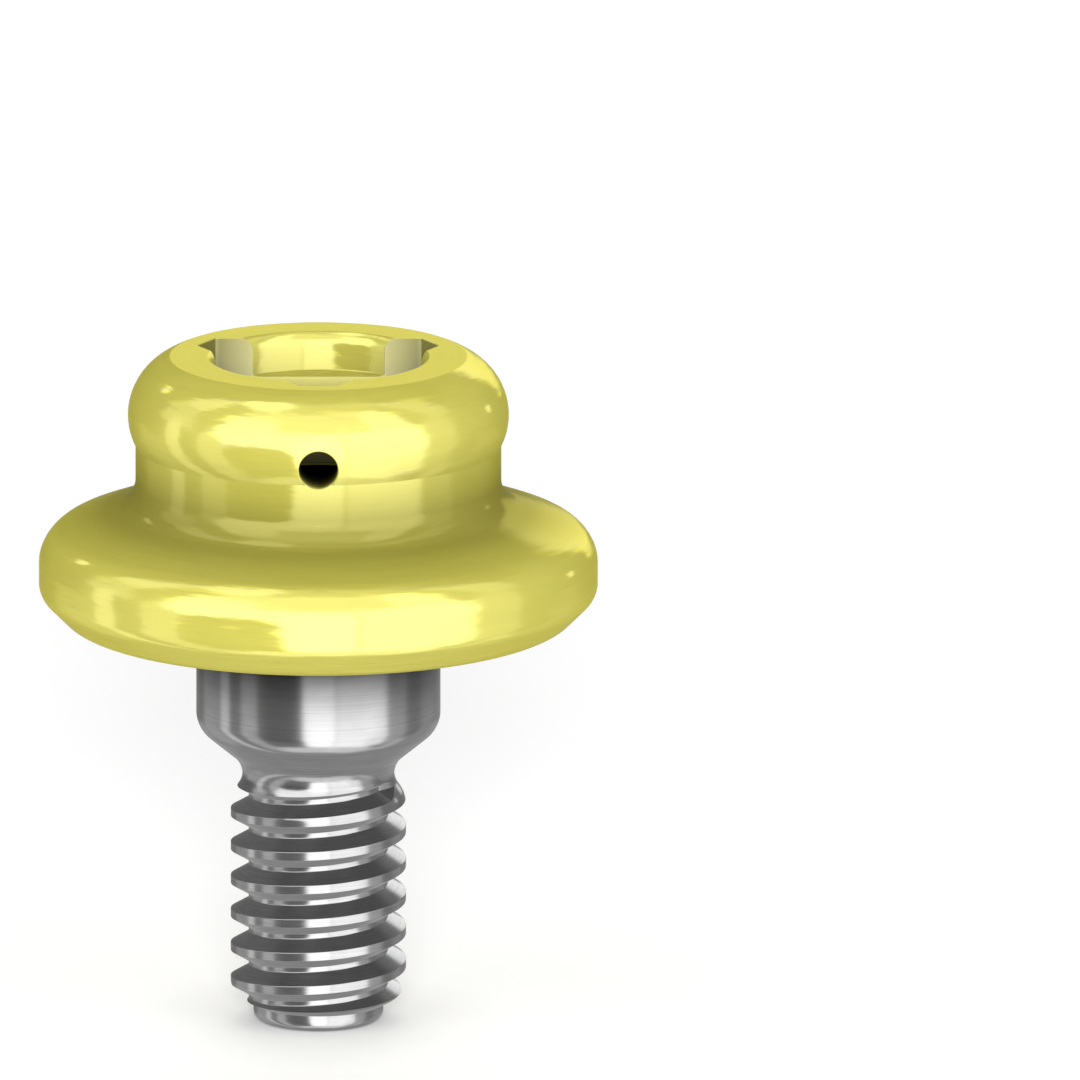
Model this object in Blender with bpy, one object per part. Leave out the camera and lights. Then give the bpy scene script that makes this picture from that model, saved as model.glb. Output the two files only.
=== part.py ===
"""A screw-in stud abutment for a snap-on denture, turned from one bar of titanium.

The blank is one turned profile. A round lip bore, a three-lobed drive socket and a
vent hole are cut into the head, and the screw thread is cut into the shank as a
single-point tool cuts it. Origin: on the axis, in the seat plane under the flange.
+Z points up through the head, and one lobe and the vent hole face -Y.
"""

import math

import bmesh
import bpy
from mathutils import Vector

MM = 0.001

# Head, the stud that the denture's cap snaps over
RIM_HEIGHT = 2.786 * MM  # top face above the seat plane
HEAD_RADIUS = 1.952 * MM
BULGE_RADIUS = 0.652 * MM  # radius of the convex side
RIM_INSET = 0.427 * MM  # widest place in to the edge of the top face
NECK_INSET = 0.078 * MM  # widest place in to the neck, which the cap snaps under
NECK_FILLET = 0.320 * MM

# Flange that covers the gum collar
FLANGE_RADIUS = 2.863 * MM
FLANGE_SLOPE = math.radians(20.0)  # fall of its upper face from the neck
FLANGE_EDGE = 0.910 * MM  # height of the sharp upper corner above the seat plane
SHOULDER_FILLET = 0.400 * MM
FLANGE_CHAMFER = 0.318 * MM
CHAMFER_UPPER_FILLET = 0.190 * MM
CHAMFER_LOWER_FILLET = 0.250 * MM

# Pilot that centres the part in the implant
PILOT_RADIUS = 1.251 * MM
PILOT_LENGTH = 1.084 * MM
PILOT_FILLET = 0.277 * MM
PILOT_CONE = math.radians(50.3)  # half angle of the cone below it

# Undercut between the pilot and the thread
UNDERCUT_DEPTH = 0.119 * MM  # below the thread's crest
UNDERCUT_LENGTH = 0.179 * MM
UNDERCUT_UPPER_FILLET = 0.241 * MM
UNDERCUT_LOWER_FILLET = 0.200 * MM
FLARE_ANGLE = math.radians(34.0)  # flare from the undercut to the thread's crest
FLARE_FILLET = 0.277 * MM

# Thread: right-handed, as deep as its pitch, flats and flanks make it
CREST_RADIUS = 0.898 * MM
PITCH = 0.3528 * MM
CREST_FLAT = 0.088 * MM
ROOT_FLAT = 0.0524 * MM
FLANK_ANGLE = math.radians(30.0)
THREAD_START = 0.169 * MM  # undercut's lower corner down to the first groove, at the left
RUN_OUT_START = math.radians(330.0)  # where the tool begins to leave the metal
RUN_OUT_TURN = math.radians(36.0)

# Tip
SHANK_LENGTH = 4.187 * MM  # seat plane to the tip
TIP_RADIUS = 0.666 * MM
TIP_LAND = 0.180 * MM
TIP_FILLET = 0.115 * MM
LEAD_IN_ANGLE = math.radians(63.0)  # from the axis
LEAD_IN_FILLET = 0.205 * MM

# Lip bore and drive socket
LIP_RADIUS = 1.066 * MM
LIP_DEPTH = 0.400 * MM
MOUTH_FILLET = 0.156 * MM
MOUTH_DEPTH = 0.131 * MM  # how far down the rounded mouth reaches
LOBES = 3
LOBE_REACH = 1.326 * MM  # axis to each lobe's end
LOBE_WIDTH = 0.374 * MM  # across the end, from which the long flats run
DRIVE_DEPTH = 1.320 * MM
DRILL_CLEARANCE = 0.065 * MM  # drilled hole inside the flats
DRILL_STEP = 0.080 * MM  # drilled wall below the socket's floor
DRILL_POINT = math.radians(59.0)  # half angle of the drill's point
DRILL_CHISEL = 0.015 * MM  # radius of the flat that the drill's point leaves

# Vent hole from the front lobe through the head's side
VENT_RADIUS = 0.201 * MM
VENT_DEPTH = 0.752 * MM  # below the top face

# How far a cutter passes the face that it cuts through
OVERCUT = 0.150 * MM
THREAD_OVERCUT = 0.030 * MM

# Facets
TURN_STEPS = 60
BORE_STEPS = 48
VENT_STEPS = 20
BULGE_STEPS = 12
LARGE_FILLET_STEPS = 6
FILLET_STEPS = 4
SMALL_FILLET_STEPS = 3
MERGE = 0.00001 * MM
SHARP_ANGLE = math.radians(25.0)

GOLD_SLOT, METAL_SLOT = 0, 1


def new_material(name, colour, roughness):
    """Make one metal."""
    mat = bpy.data.materials.new(name)
    mat.use_nodes = True
    shader = mat.node_tree.nodes["Principled BSDF"]
    shader.inputs["Base Color"].default_value = (*colour, 1.0)
    shader.inputs["Metallic"].default_value = 1.0
    shader.inputs["Roughness"].default_value = roughness
    mat.diffuse_color = (*colour, 1.0)
    return mat


def new_object(name, bm, materials, slot=GOLD_SLOT):
    """Turn a finished bmesh into an object whose faces point outwards."""
    bmesh.ops.recalc_face_normals(bm, faces=bm.faces)
    for face in bm.faces:
        face.material_index = slot
    mesh = bpy.data.meshes.new(name)
    bm.to_mesh(mesh)
    bm.free()
    for mat in materials:
        mesh.materials.append(mat)
    mesh.shade_smooth()
    mesh.set_sharp_from_angle(angle=SHARP_ANGLE)
    obj = bpy.data.objects.new(name, mesh)
    bpy.context.scene.collection.objects.link(obj)
    return obj


def arc(centre, radius, start, end, steps):
    """Points of an arc in the (radius, height) plane."""
    turn = (end - start) / steps
    return [
        Vector(
            (
                centre[0] + radius * math.cos(start + turn * i),
                centre[1] + radius * math.sin(start + turn * i),
            )
        )
        for i in range(steps + 1)
    ]


def rounded(corners):
    """Round a chain of (point, fillet radius, steps) with arcs tangent to its lines.

    Two fillets that share a short line are both made smaller until they fit on it.
    """
    points = [Vector(c[0]) for c in corners]
    turns, reach = [0.0] * len(points), [0.0] * len(points)
    for i in range(1, len(points) - 1):
        before, after = points[i] - points[i - 1], points[i + 1] - points[i]
        turns[i] = before.angle(after)
        reach[i] = corners[i][1] * math.tan(turns[i] / 2)
    fit = [1.0] * len(points)
    for i in range(len(points) - 1):
        used, length = reach[i] + reach[i + 1], (points[i + 1] - points[i]).length
        if used > length:
            fit[i] = min(fit[i], length / used)
            fit[i + 1] = min(fit[i + 1], length / used)
    chain = []
    for i, point in enumerate(points):
        if reach[i] * fit[i] < MERGE:
            chain.append(point)
            continue
        run = reach[i] * fit[i]
        back = (points[i - 1] - point).normalized()
        ahead = (points[i + 1] - point).normalized()
        radius = run / math.tan(turns[i] / 2)
        centre = point + (back + ahead).normalized() * math.hypot(run, radius)
        first, last = point + back * run - centre, point + ahead * run - centre
        start = math.atan2(first.y, first.x)
        sweep = math.remainder(math.atan2(last.y, last.x) - start, 2 * math.pi)
        chain += arc(centre, radius, start, start + sweep, corners[i][2])
    return chain


def revolve(name, profile, steps, materials, slot=GOLD_SLOT):
    """Turn a profile about the axis, and close each end with a flat face."""
    bm = bmesh.new()
    verts = [bm.verts.new((p[0], 0.0, p[1])) for p in profile]
    edges = [bm.edges.new(pair) for pair in zip(verts, verts[1:])]
    bmesh.ops.spin(
        bm,
        geom=verts + edges,
        cent=(0, 0, 0),
        axis=(0, 0, 1),
        angle=2 * math.pi,
        steps=steps,
        use_merge=True,
    )
    bmesh.ops.remove_doubles(bm, verts=bm.verts, dist=MERGE)
    bmesh.ops.holes_fill(bm, edges=[e for e in bm.edges if e.is_boundary], sides=0)
    return new_object(name, bm, materials, slot)


def prism(name, outline, bottom, top, materials):
    """Raise a closed outline into a solid between two heights."""
    bm = bmesh.new()
    face = bm.faces.new([bm.verts.new((x, y, bottom)) for x, y in outline])
    raised = bmesh.ops.extrude_face_region(bm, geom=[face])["geom"]
    verts = [v for v in raised if isinstance(v, bmesh.types.BMVert)]
    bmesh.ops.translate(bm, verts=verts, vec=(0, 0, top - bottom))
    return new_object(name, bm, materials)


def cut(body, cutter):
    """Subtract a hidden cutter from a body."""
    cutter.hide_render = True
    cutter.display_type = "WIRE"
    step = body.modifiers.new(cutter.name, "BOOLEAN")
    step.operation = "DIFFERENCE"
    step.solver = "EXACT"
    step.object = cutter


def turned_profile():
    """The outside of the blank, from the rim down to the tip."""
    rim_turn = math.acos((BULGE_RADIUS - RIM_INSET) / BULGE_RADIUS)
    crease_turn = -math.acos((BULGE_RADIUS - NECK_INSET) / BULGE_RADIUS)
    bulge = (HEAD_RADIUS - BULGE_RADIUS, RIM_HEIGHT - BULGE_RADIUS * math.sin(rim_turn))
    side = arc(bulge, BULGE_RADIUS, rim_turn, crease_turn, BULGE_STEPS)

    neck = HEAD_RADIUS - NECK_INSET
    neck_foot = FLANGE_EDGE + (FLANGE_RADIUS - neck) * math.tan(FLANGE_SLOPE)
    undercut = CREST_RADIUS - UNDERCUT_DEPTH
    cone_drop = (PILOT_RADIUS - undercut) / math.tan(PILOT_CONE)
    flare_drop = UNDERCUT_DEPTH / math.tan(FLARE_ANGLE)
    undercut_top = -PILOT_LENGTH - cone_drop
    undercut_foot = undercut_top - UNDERCUT_LENGTH
    lead_in = (CREST_RADIUS - TIP_RADIUS) / math.tan(LEAD_IN_ANGLE)
    land_top = TIP_LAND - SHANK_LENGTH

    corners = [(p, 0.0, 0) for p in side]
    corners += [
        ((neck, neck_foot), NECK_FILLET, LARGE_FILLET_STEPS),
        ((FLANGE_RADIUS, FLANGE_EDGE), SHOULDER_FILLET, LARGE_FILLET_STEPS),
        ((FLANGE_RADIUS, FLANGE_CHAMFER), CHAMFER_UPPER_FILLET, SMALL_FILLET_STEPS),
        ((FLANGE_RADIUS - FLANGE_CHAMFER, 0.0), CHAMFER_LOWER_FILLET, SMALL_FILLET_STEPS),
        ((PILOT_RADIUS, 0.0), 0.0, 0),
        ((PILOT_RADIUS, -PILOT_LENGTH), PILOT_FILLET, FILLET_STEPS),
        ((undercut, undercut_top), UNDERCUT_UPPER_FILLET, FILLET_STEPS),
        ((undercut, undercut_foot), UNDERCUT_LOWER_FILLET, SMALL_FILLET_STEPS),
        ((CREST_RADIUS, undercut_foot - flare_drop), FLARE_FILLET, SMALL_FILLET_STEPS),
        ((CREST_RADIUS, land_top + lead_in), LEAD_IN_FILLET, FILLET_STEPS),
        ((TIP_RADIUS, land_top), 0.0, 0),
        ((TIP_RADIUS, -SHANK_LENGTH), TIP_FILLET, SMALL_FILLET_STEPS),
        ((0.0, -SHANK_LENGTH), 0.0, 0),
    ]
    return rounded(corners)[:-1], undercut_foot


def mouth_cutter(materials):
    """The lip bore, whose mouth opens in a quarter round that the top face cuts off."""
    floor = RIM_HEIGHT - LIP_DEPTH
    centre = (LIP_RADIUS + MOUTH_FILLET, RIM_HEIGHT - MOUTH_DEPTH)
    profile = [Vector((LIP_RADIUS, floor))]
    profile += arc(centre, MOUTH_FILLET, math.pi, math.pi / 2, LARGE_FILLET_STEPS)
    profile.append(Vector((centre[0], RIM_HEIGHT + OVERCUT)))
    return revolve("lip_bore_cutter", profile, BORE_STEPS, materials)


def flat_distance():
    """From the axis to each long flat, which joins the ends of two neighbouring lobes."""
    half = math.pi / LOBES
    return LOBE_REACH * math.cos(half) + LOBE_WIDTH / 2 * math.sin(half)


def drive_cutter(materials):
    """A triangle with flat ends to its corners, and one corner towards -Y."""
    outline = []
    for i in range(LOBES):
        turn = 2 * math.pi * i / LOBES - math.pi / 2
        out = Vector((math.cos(turn), math.sin(turn)))
        along = Vector((-out.y, out.x)) * LOBE_WIDTH / 2
        outline += [out * LOBE_REACH - along, out * LOBE_REACH + along]
    bottom, top = RIM_HEIGHT - DRIVE_DEPTH, RIM_HEIGHT + OVERCUT
    return prism("drive_socket_cutter", outline, bottom, top, materials)


def drill_cutter(materials):
    """The drilled hole that the socket is broached over, with its pointed end."""
    radius = flat_distance() - DRILL_CLEARANCE
    shoulder = RIM_HEIGHT - DRIVE_DEPTH - DRILL_STEP
    profile = [
        (DRILL_CHISEL, shoulder - (radius - DRILL_CHISEL) / math.tan(DRILL_POINT)),
        (radius, shoulder),
        (radius, RIM_HEIGHT - LIP_DEPTH),
    ]
    return revolve("drill_cutter", profile, BORE_STEPS, materials)


def vent_cutter(materials):
    """The round hole that runs from the front lobe out through the head's side."""
    height = RIM_HEIGHT - VENT_DEPTH
    start, end = LOBE_REACH - OVERCUT, HEAD_RADIUS + OVERCUT
    bm = bmesh.new()
    ring = []
    for i in range(VENT_STEPS):
        turn = 2 * math.pi * (i + 0.5) / VENT_STEPS
        x, z = VENT_RADIUS * math.cos(turn), VENT_RADIUS * math.sin(turn)
        ring.append(bm.verts.new((x, -start, height + z)))
    face = bm.faces.new(ring)
    raised = bmesh.ops.extrude_face_region(bm, geom=[face])["geom"]
    verts = [v for v in raised if isinstance(v, bmesh.types.BMVert)]
    bmesh.ops.translate(bm, verts=verts, vec=(0, start - end, 0))
    return new_object("vent_cutter", bm, materials)


def thread_cutter(undercut_foot, materials):
    """Sweep the tool's nose down the shank on a helix, from its run-out to past the tip."""
    spread = math.tan(FLANK_ANGLE)
    depth = (PITCH - CREST_FLAT - ROOT_FLAT) / 2 / spread
    outer = depth + THREAD_OVERCUT
    half, outer_half = ROOT_FLAT / 2, ROOT_FLAT / 2 + outer * spread
    section = [(0.0, half), (outer, outer_half), (outer, -outer_half), (0.0, -half)]

    # Heights are set at the left side, where the turn is half a circle.
    left_height = undercut_foot - THREAD_START
    step = 2 * math.pi / TURN_STEPS
    first = round((RUN_OUT_START + RUN_OUT_TURN) / step)
    turns_down = (SHANK_LENGTH + left_height + PITCH) / PITCH
    last = round(math.pi / step) - math.ceil(turns_down * TURN_STEPS)

    bm = bmesh.new()
    rings = []
    for i in range(first, last - 1, -1):
        turn = i * step
        height = left_height + PITCH * (turn - math.pi) / (2 * math.pi)
        lift = max(0.0, (turn - RUN_OUT_START) / RUN_OUT_TURN) * outer
        ring = []
        for radial, offset in section:
            radius = CREST_RADIUS - depth + radial + lift
            ring.append(
                bm.verts.new((radius * math.cos(turn), radius * math.sin(turn), height + offset))
            )
        rings.append(ring)
    for upper, lower in zip(rings, rings[1:]):
        for a, b, c, d in zip(upper, upper[1:] + upper[:1], lower[1:] + lower[:1], lower):
            bm.faces.new((a, b, c, d))
    bm.faces.new(rings[0])
    bm.faces.new(rings[-1])
    return new_object("thread_cutter", bm, materials, METAL_SLOT)


for old in list(bpy.data.objects):
    bpy.data.objects.remove(old, do_unlink=True)

metals = [
    new_material("gold_nitride_coating", (0.68, 0.62, 0.13), 0.18),
    new_material("bare_titanium", (0.46, 0.46, 0.47), 0.22),
]

outside, undercut_end = turned_profile()
abutment = revolve("abutment", outside, TURN_STEPS, metals)
for polygon in abutment.data.polygons:
    if polygon.center.z < -MERGE:
        polygon.material_index = METAL_SLOT

cut(abutment, mouth_cutter(metals))
cut(abutment, drill_cutter(metals))
cut(abutment, drive_cutter(metals))
cut(abutment, vent_cutter(metals))
cut(abutment, thread_cutter(undercut_end, metals))
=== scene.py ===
import math

import bmesh
import bpy
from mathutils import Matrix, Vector


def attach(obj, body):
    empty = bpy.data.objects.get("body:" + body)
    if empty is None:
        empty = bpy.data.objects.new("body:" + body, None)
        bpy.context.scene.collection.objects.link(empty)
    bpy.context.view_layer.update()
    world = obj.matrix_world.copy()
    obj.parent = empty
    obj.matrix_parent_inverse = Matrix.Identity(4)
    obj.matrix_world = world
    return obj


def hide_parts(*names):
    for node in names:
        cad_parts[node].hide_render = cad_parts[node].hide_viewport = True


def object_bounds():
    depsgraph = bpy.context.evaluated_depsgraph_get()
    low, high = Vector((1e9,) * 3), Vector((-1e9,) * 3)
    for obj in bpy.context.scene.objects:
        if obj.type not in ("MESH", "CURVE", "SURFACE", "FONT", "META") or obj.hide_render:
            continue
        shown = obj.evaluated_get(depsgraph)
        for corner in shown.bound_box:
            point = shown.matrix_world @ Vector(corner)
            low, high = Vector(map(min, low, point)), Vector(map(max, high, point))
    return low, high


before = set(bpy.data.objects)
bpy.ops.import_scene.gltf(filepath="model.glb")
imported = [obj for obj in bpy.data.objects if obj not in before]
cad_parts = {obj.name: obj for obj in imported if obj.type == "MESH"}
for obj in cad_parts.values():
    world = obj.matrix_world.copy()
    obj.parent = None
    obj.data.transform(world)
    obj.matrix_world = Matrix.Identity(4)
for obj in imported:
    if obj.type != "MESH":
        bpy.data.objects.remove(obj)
cad_low, cad_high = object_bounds()


# Turned blank
# The whole abutment is one bar of titanium alloy. A lathe turns the snap head, the neck, the
# flange that covers the gum, the pilot, the undercut and the shank in one set-up, so every
# corner is a tool's nose radius and the long faces are plain cylinders and cones.
MM = 0.001
RIM_HEIGHT = cad_high.z
TIP_HEIGHT = cad_low.z
FLANGE_RADIUS = cad_high.x
HEAD_RADIUS = 1.952 * MM
BULGE_RADIUS = 0.652 * MM
RIM_INSET = 0.427 * MM  # widest place of the head in to the edge of its top face
NECK_INSET = 0.078 * MM
FLANGE_SLOPE = math.radians(20.0)
FLANGE_EDGE = 0.910 * MM
FLANGE_CHAMFER = 0.318 * MM
PILOT_RADIUS = 1.251 * MM
PILOT_LENGTH = 1.084 * MM
PILOT_CONE = math.radians(50.3)
CREST_RADIUS = 0.898 * MM
UNDERCUT_DEPTH = 0.119 * MM
UNDERCUT_LENGTH = 0.179 * MM
FLARE_ANGLE = math.radians(34.0)
TIP_RADIUS = 0.666 * MM
TIP_LAND = 0.180 * MM
LEAD_IN_ANGLE = math.radians(63.0)

TURN_STEPS = 288
BULGE_STEPS = 30
CORNER_STEP = math.radians(5.5)  # turn of one facet round a turned corner
NEAR = 0.0002 * MM


def start_piece(name):
    """Open edit mode on one point at the origin, from which a piece is drawn."""
    bpy.ops.object.select_all(action="DESELECT")
    bpy.ops.mesh.primitive_plane_add(size=MM)
    piece = bpy.context.object
    piece.name = piece.data.name = name
    bpy.ops.object.mode_set(mode="EDIT")
    bpy.ops.mesh.select_all(action="SELECT")
    bpy.ops.mesh.merge(type="CENTER")
    return piece


def draw_chain(points):
    """Draw a line through (radius, height) points by extruding its last point."""
    here = Vector((0.0, 0.0, 0.0))
    for i, (radius, height) in enumerate(points):
        step = Vector((radius, 0.0, height)) - here
        if i == 0:
            bpy.ops.transform.translate(value=step)
        else:
            bpy.ops.mesh.extrude_region_move(TRANSFORM_OT_translate={"value": step})
        here += step


def round_corner(piece, corner, before, after, radius):
    """Round one corner of a drawn line with an arc tangent to both of its sides."""
    corner, before, after = Vector(corner), Vector(before), Vector(after)
    turn = (corner - before).angle(after - corner)
    bpy.ops.mesh.select_all(action="DESELECT")
    mesh = bmesh.from_edit_mesh(piece.data)
    for vert in mesh.verts:
        if (Vector((vert.co.x, vert.co.z)) - corner).length < NEAR:
            vert.select = True
    bmesh.update_edit_mesh(piece.data)
    bpy.ops.mesh.bevel(
        offset=radius * math.tan(turn / 2),
        segments=max(2, round(turn / CORNER_STEP)),
        affect="VERTICES",
        clamp_overlap=True,
    )


neck = HEAD_RADIUS - NECK_INSET
neck_foot = FLANGE_EDGE + (FLANGE_RADIUS - neck) * math.tan(FLANGE_SLOPE)
undercut = CREST_RADIUS - UNDERCUT_DEPTH
undercut_top = -PILOT_LENGTH - (PILOT_RADIUS - undercut) / math.tan(PILOT_CONE)
undercut_foot = undercut_top - UNDERCUT_LENGTH
flare_foot = undercut_foot - UNDERCUT_DEPTH / math.tan(FLARE_ANGLE)
land_top = TIP_HEIGHT + TIP_LAND
lead_in_top = land_top + (CREST_RADIUS - TIP_RADIUS) / math.tan(LEAD_IN_ANGLE)

rim_turn = math.acos((BULGE_RADIUS - RIM_INSET) / BULGE_RADIUS)
crease_turn = -math.acos((BULGE_RADIUS - NECK_INSET) / BULGE_RADIUS)
bulge_centre = (HEAD_RADIUS - BULGE_RADIUS, RIM_HEIGHT - BULGE_RADIUS * math.sin(rim_turn))
head_side = []
for i in range(BULGE_STEPS + 1):
    turn = rim_turn + (crease_turn - rim_turn) * i / BULGE_STEPS
    head_side.append((
        bulge_centre[0] + BULGE_RADIUS * math.cos(turn),
        bulge_centre[1] + BULGE_RADIUS * math.sin(turn),
    ))
turned_corners = [
    ((neck, neck_foot), 0.320 * MM),
    ((FLANGE_RADIUS, FLANGE_EDGE), 0.400 * MM),
    ((FLANGE_RADIUS, FLANGE_CHAMFER), 0.190 * MM),
    ((FLANGE_RADIUS - FLANGE_CHAMFER, 0.0), 0.250 * MM),
    ((PILOT_RADIUS, 0.0), 0.0),
    ((PILOT_RADIUS, -PILOT_LENGTH), 0.277 * MM),
    ((undercut, undercut_top), 0.241 * MM),
    ((undercut, undercut_foot), 0.200 * MM),
    ((CREST_RADIUS, flare_foot), 0.277 * MM),
    ((CREST_RADIUS, lead_in_top), 0.205 * MM),
    ((TIP_RADIUS, land_top), 0.0),
    ((TIP_RADIUS, TIP_HEIGHT), 0.115 * MM),
    ((TIP_RADIUS - TIP_LAND, TIP_HEIGHT), 0.0),
]
outline = head_side + [point for point, radius in turned_corners]

abutment = start_piece("turned_abutment")
draw_chain(outline)
for i, (point, radius) in enumerate(turned_corners):
    if radius > 0.0:
        at = len(head_side) + i
        round_corner(abutment, point, outline[at - 1], outline[at + 1], radius)
bpy.ops.mesh.select_all(action="SELECT")
bpy.ops.mesh.spin(
    steps=TURN_STEPS, angle=2 * math.pi, center=(0, 0, 0), axis=(0, 0, 1), use_auto_merge=True
)
bpy.ops.mesh.select_all(action="SELECT")
bpy.ops.mesh.fill_holes(sides=0)
bpy.ops.mesh.select_all(action="SELECT")
bpy.ops.mesh.normals_make_consistent(inside=False)
bpy.ops.object.mode_set(mode="OBJECT")


# Lip bore and drive socket
# The driver enters a round lip bore and drops into a three-lobed socket that is broached
# over a drilled hole. The lobes are longer than the bore, so they break out through the top
# face. All of it is cut in the head itself, and its edges are broken by about a hundredth.
EDGE_BREAK = 0.010 * MM
OVERCUT = 0.100 * MM
LIP_RADIUS = 1.066 * MM
LIP_DEPTH = 0.400 * MM
LIP_CORNER = 0.020 * MM
MOUTH_FILLET = 0.156 * MM
MOUTH_DEPTH = 0.131 * MM
MOUTH_TOP = math.radians(66.0)  # where the cutter leaves the mouth's round, above the rim
LOBES = 3
LOBE_REACH = 1.326 * MM
LOBE_WIDTH = 0.374 * MM
LOBE_FILLET = 0.012 * MM
DRIVE_DEPTH = 1.320 * MM
DRILL_CLEARANCE = 0.065 * MM
DRILL_STEP = 0.080 * MM
DRILL_POINT = math.radians(59.0)
DRILL_CHISEL = 0.015 * MM

BORE_STEPS = 60  # round the stretch of bore between two lobes
FLAT_STEPS = 3
FILLET_STEPS = 4
ROUND_STEPS = 8

lobe_half = math.pi / LOBES
flat = LOBE_REACH * math.cos(lobe_half) + LOBE_WIDTH / 2 * math.sin(lobe_half)
flat_end = LOBE_REACH * math.sin(lobe_half) - LOBE_WIDTH / 2 * math.cos(lobe_half)


def third_of_socket(radius, grow):
    """Points along one flat and the bore above it, as (along the flat, out from the axis)."""
    out = flat + grow
    reach = LOBE_REACH + grow
    end = flat_end + grow * (1 - math.cos(lobe_half)) / math.sin(lobe_half)
    away, off = radius + LOBE_FILLET, out + LOBE_FILLET
    start = math.sqrt(away * away - off * off)
    half = [(reach * math.sin(lobe_half), reach * math.cos(lobe_half))]
    for i in range(FLAT_STEPS):
        half.append((end + (start - end) * i / FLAT_STEPS, out))
    meet = math.atan2(start, off)
    for i in range(FILLET_STEPS + 1):
        turn = math.pi + meet * i / FILLET_STEPS
        half.append((start + LOBE_FILLET * math.sin(turn), off + LOBE_FILLET * math.cos(turn)))
    bore = []
    for i in range(1, BORE_STEPS):
        turn = meet - 2 * meet * i / BORE_STEPS
        bore.append((-radius * math.sin(turn), radius * math.cos(turn)))
    return [(-x, y) for x, y in half] + bore + [(x, y) for x, y in reversed(half[1:])]


def socket_ring(height, radius, grow=0.0, ledge=None):
    """One closed ring of the socket: the bore and the lobes, or the lobes alone below the ledge."""
    ring = []
    for i in range(LOBES):
        turn = 2 * math.pi * i / LOBES + math.pi / 2
        for x, y in third_of_socket(radius, grow):
            if ledge is not None:
                y = min(y, flat + ledge)
            ring.append(Vector((
                y * math.cos(turn) - x * math.sin(turn),
                y * math.sin(turn) + x * math.cos(turn),
                height,
            )))
    return ring


def push_face(rings, name):
    """Start a face on the first ring, and extrude it through all the others."""
    bpy.ops.object.select_all(action="DESELECT")
    bpy.ops.mesh.primitive_circle_add(vertices=len(rings[0]), radius=MM, fill_type="NGON")
    piece = bpy.context.object
    piece.name = piece.data.name = name
    place = piece.data.attributes.new("place", "INT", "POINT")
    place.data.foreach_set("value", range(len(rings[0])))
    bpy.ops.object.mode_set(mode="EDIT")
    for i, ring in enumerate(rings):
        if i > 0:
            bpy.ops.mesh.extrude_region_move()
        mesh = bmesh.from_edit_mesh(piece.data)
        order = mesh.verts.layers.int["place"]
        for vert in mesh.verts:
            if vert.select:
                vert.co = ring[vert[order]]
        bmesh.update_edit_mesh(piece.data)
    bpy.ops.mesh.select_all(action="SELECT")
    bpy.ops.mesh.normals_make_consistent(inside=False)
    bpy.ops.object.mode_set(mode="OBJECT")
    piece.data.attributes.remove(piece.data.attributes["place"])
    return piece


def cut_away(piece, tool):
    """Subtract a tool's form from a piece, and throw the tool away."""
    bpy.ops.object.select_all(action="DESELECT")
    bpy.context.view_layer.objects.active = piece
    piece.select_set(True)
    step = piece.modifiers.new(tool.name, "BOOLEAN")
    step.operation = "DIFFERENCE"
    step.solver = "EXACT"
    step.object = tool
    bpy.ops.object.modifier_apply(modifier=step.name)
    bpy.data.objects.remove(tool, do_unlink=True)


mouth_centre = (LIP_RADIUS + MOUTH_FILLET, RIM_HEIGHT - MOUTH_DEPTH)
mouth_edge = math.asin((MOUTH_DEPTH - EDGE_BREAK) / MOUTH_FILLET)
mouth_turns = [MOUTH_TOP + (mouth_edge - MOUTH_TOP) * i / 3 for i in range(3)]
mouth_turns += [mouth_edge * (1 - i / ROUND_STEPS) for i in range(ROUND_STEPS + 1)]
socket_rings = []
for turn in mouth_turns:
    height = mouth_centre[1] + MOUTH_FILLET * math.sin(turn)
    radius = mouth_centre[0] - MOUTH_FILLET * math.cos(turn)
    grow = max(0.0, height - RIM_HEIGHT + EDGE_BREAK)
    if not socket_rings:
        socket_rings.append(socket_ring(height + OVERCUT, radius, grow))
    socket_rings.append(socket_ring(height, radius, grow))
ledge_height = RIM_HEIGHT - LIP_DEPTH
for i in range(ROUND_STEPS + 1):
    turn = math.pi / 2 * i / ROUND_STEPS
    height = ledge_height + LIP_CORNER * (1 - math.sin(turn))
    socket_rings.append(socket_ring(height, LIP_RADIUS - LIP_CORNER * (1 - math.cos(turn))))
ledge_radius = LIP_RADIUS - LIP_CORNER
drive_floor = RIM_HEIGHT - DRIVE_DEPTH
socket_rings.append(socket_ring(ledge_height, ledge_radius, ledge=EDGE_BREAK))
socket_rings.append(socket_ring(ledge_height - EDGE_BREAK, ledge_radius, ledge=0.0))
socket_rings.append(socket_ring(drive_floor, ledge_radius, ledge=0.0))
drill_radius = flat - DRILL_CLEARANCE
drill_foot = drive_floor - DRILL_STEP
drill_tip = drill_foot - (drill_radius - DRILL_CHISEL) / math.tan(DRILL_POINT)
drill = ((drive_floor, drill_radius), (drill_foot, drill_radius), (drill_tip, DRILL_CHISEL))
for height, radius in drill:
    ring = []
    for point in socket_rings[-1]:
        out = Vector((point.x, point.y, 0.0)).normalized()
        ring.append(out * radius + Vector((0.0, 0.0, height)))
    socket_rings.append(ring)
cut_away(abutment, push_face(socket_rings, "drive_socket_form"))


# Vent hole
# A small round hole runs from the front lobe out through the side of the head. It lets air
# and cement out of the socket. It is drilled, and its mouth follows the head's round side.
VENT_RADIUS = 0.201 * MM
VENT_DEPTH = 0.752 * MM
VENT_BREAK = 0.014 * MM
VENT_STEPS = 96

vent_height = RIM_HEIGHT - VENT_DEPTH
crease_height = bulge_centre[1] + BULGE_RADIUS * math.sin(crease_turn)


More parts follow.
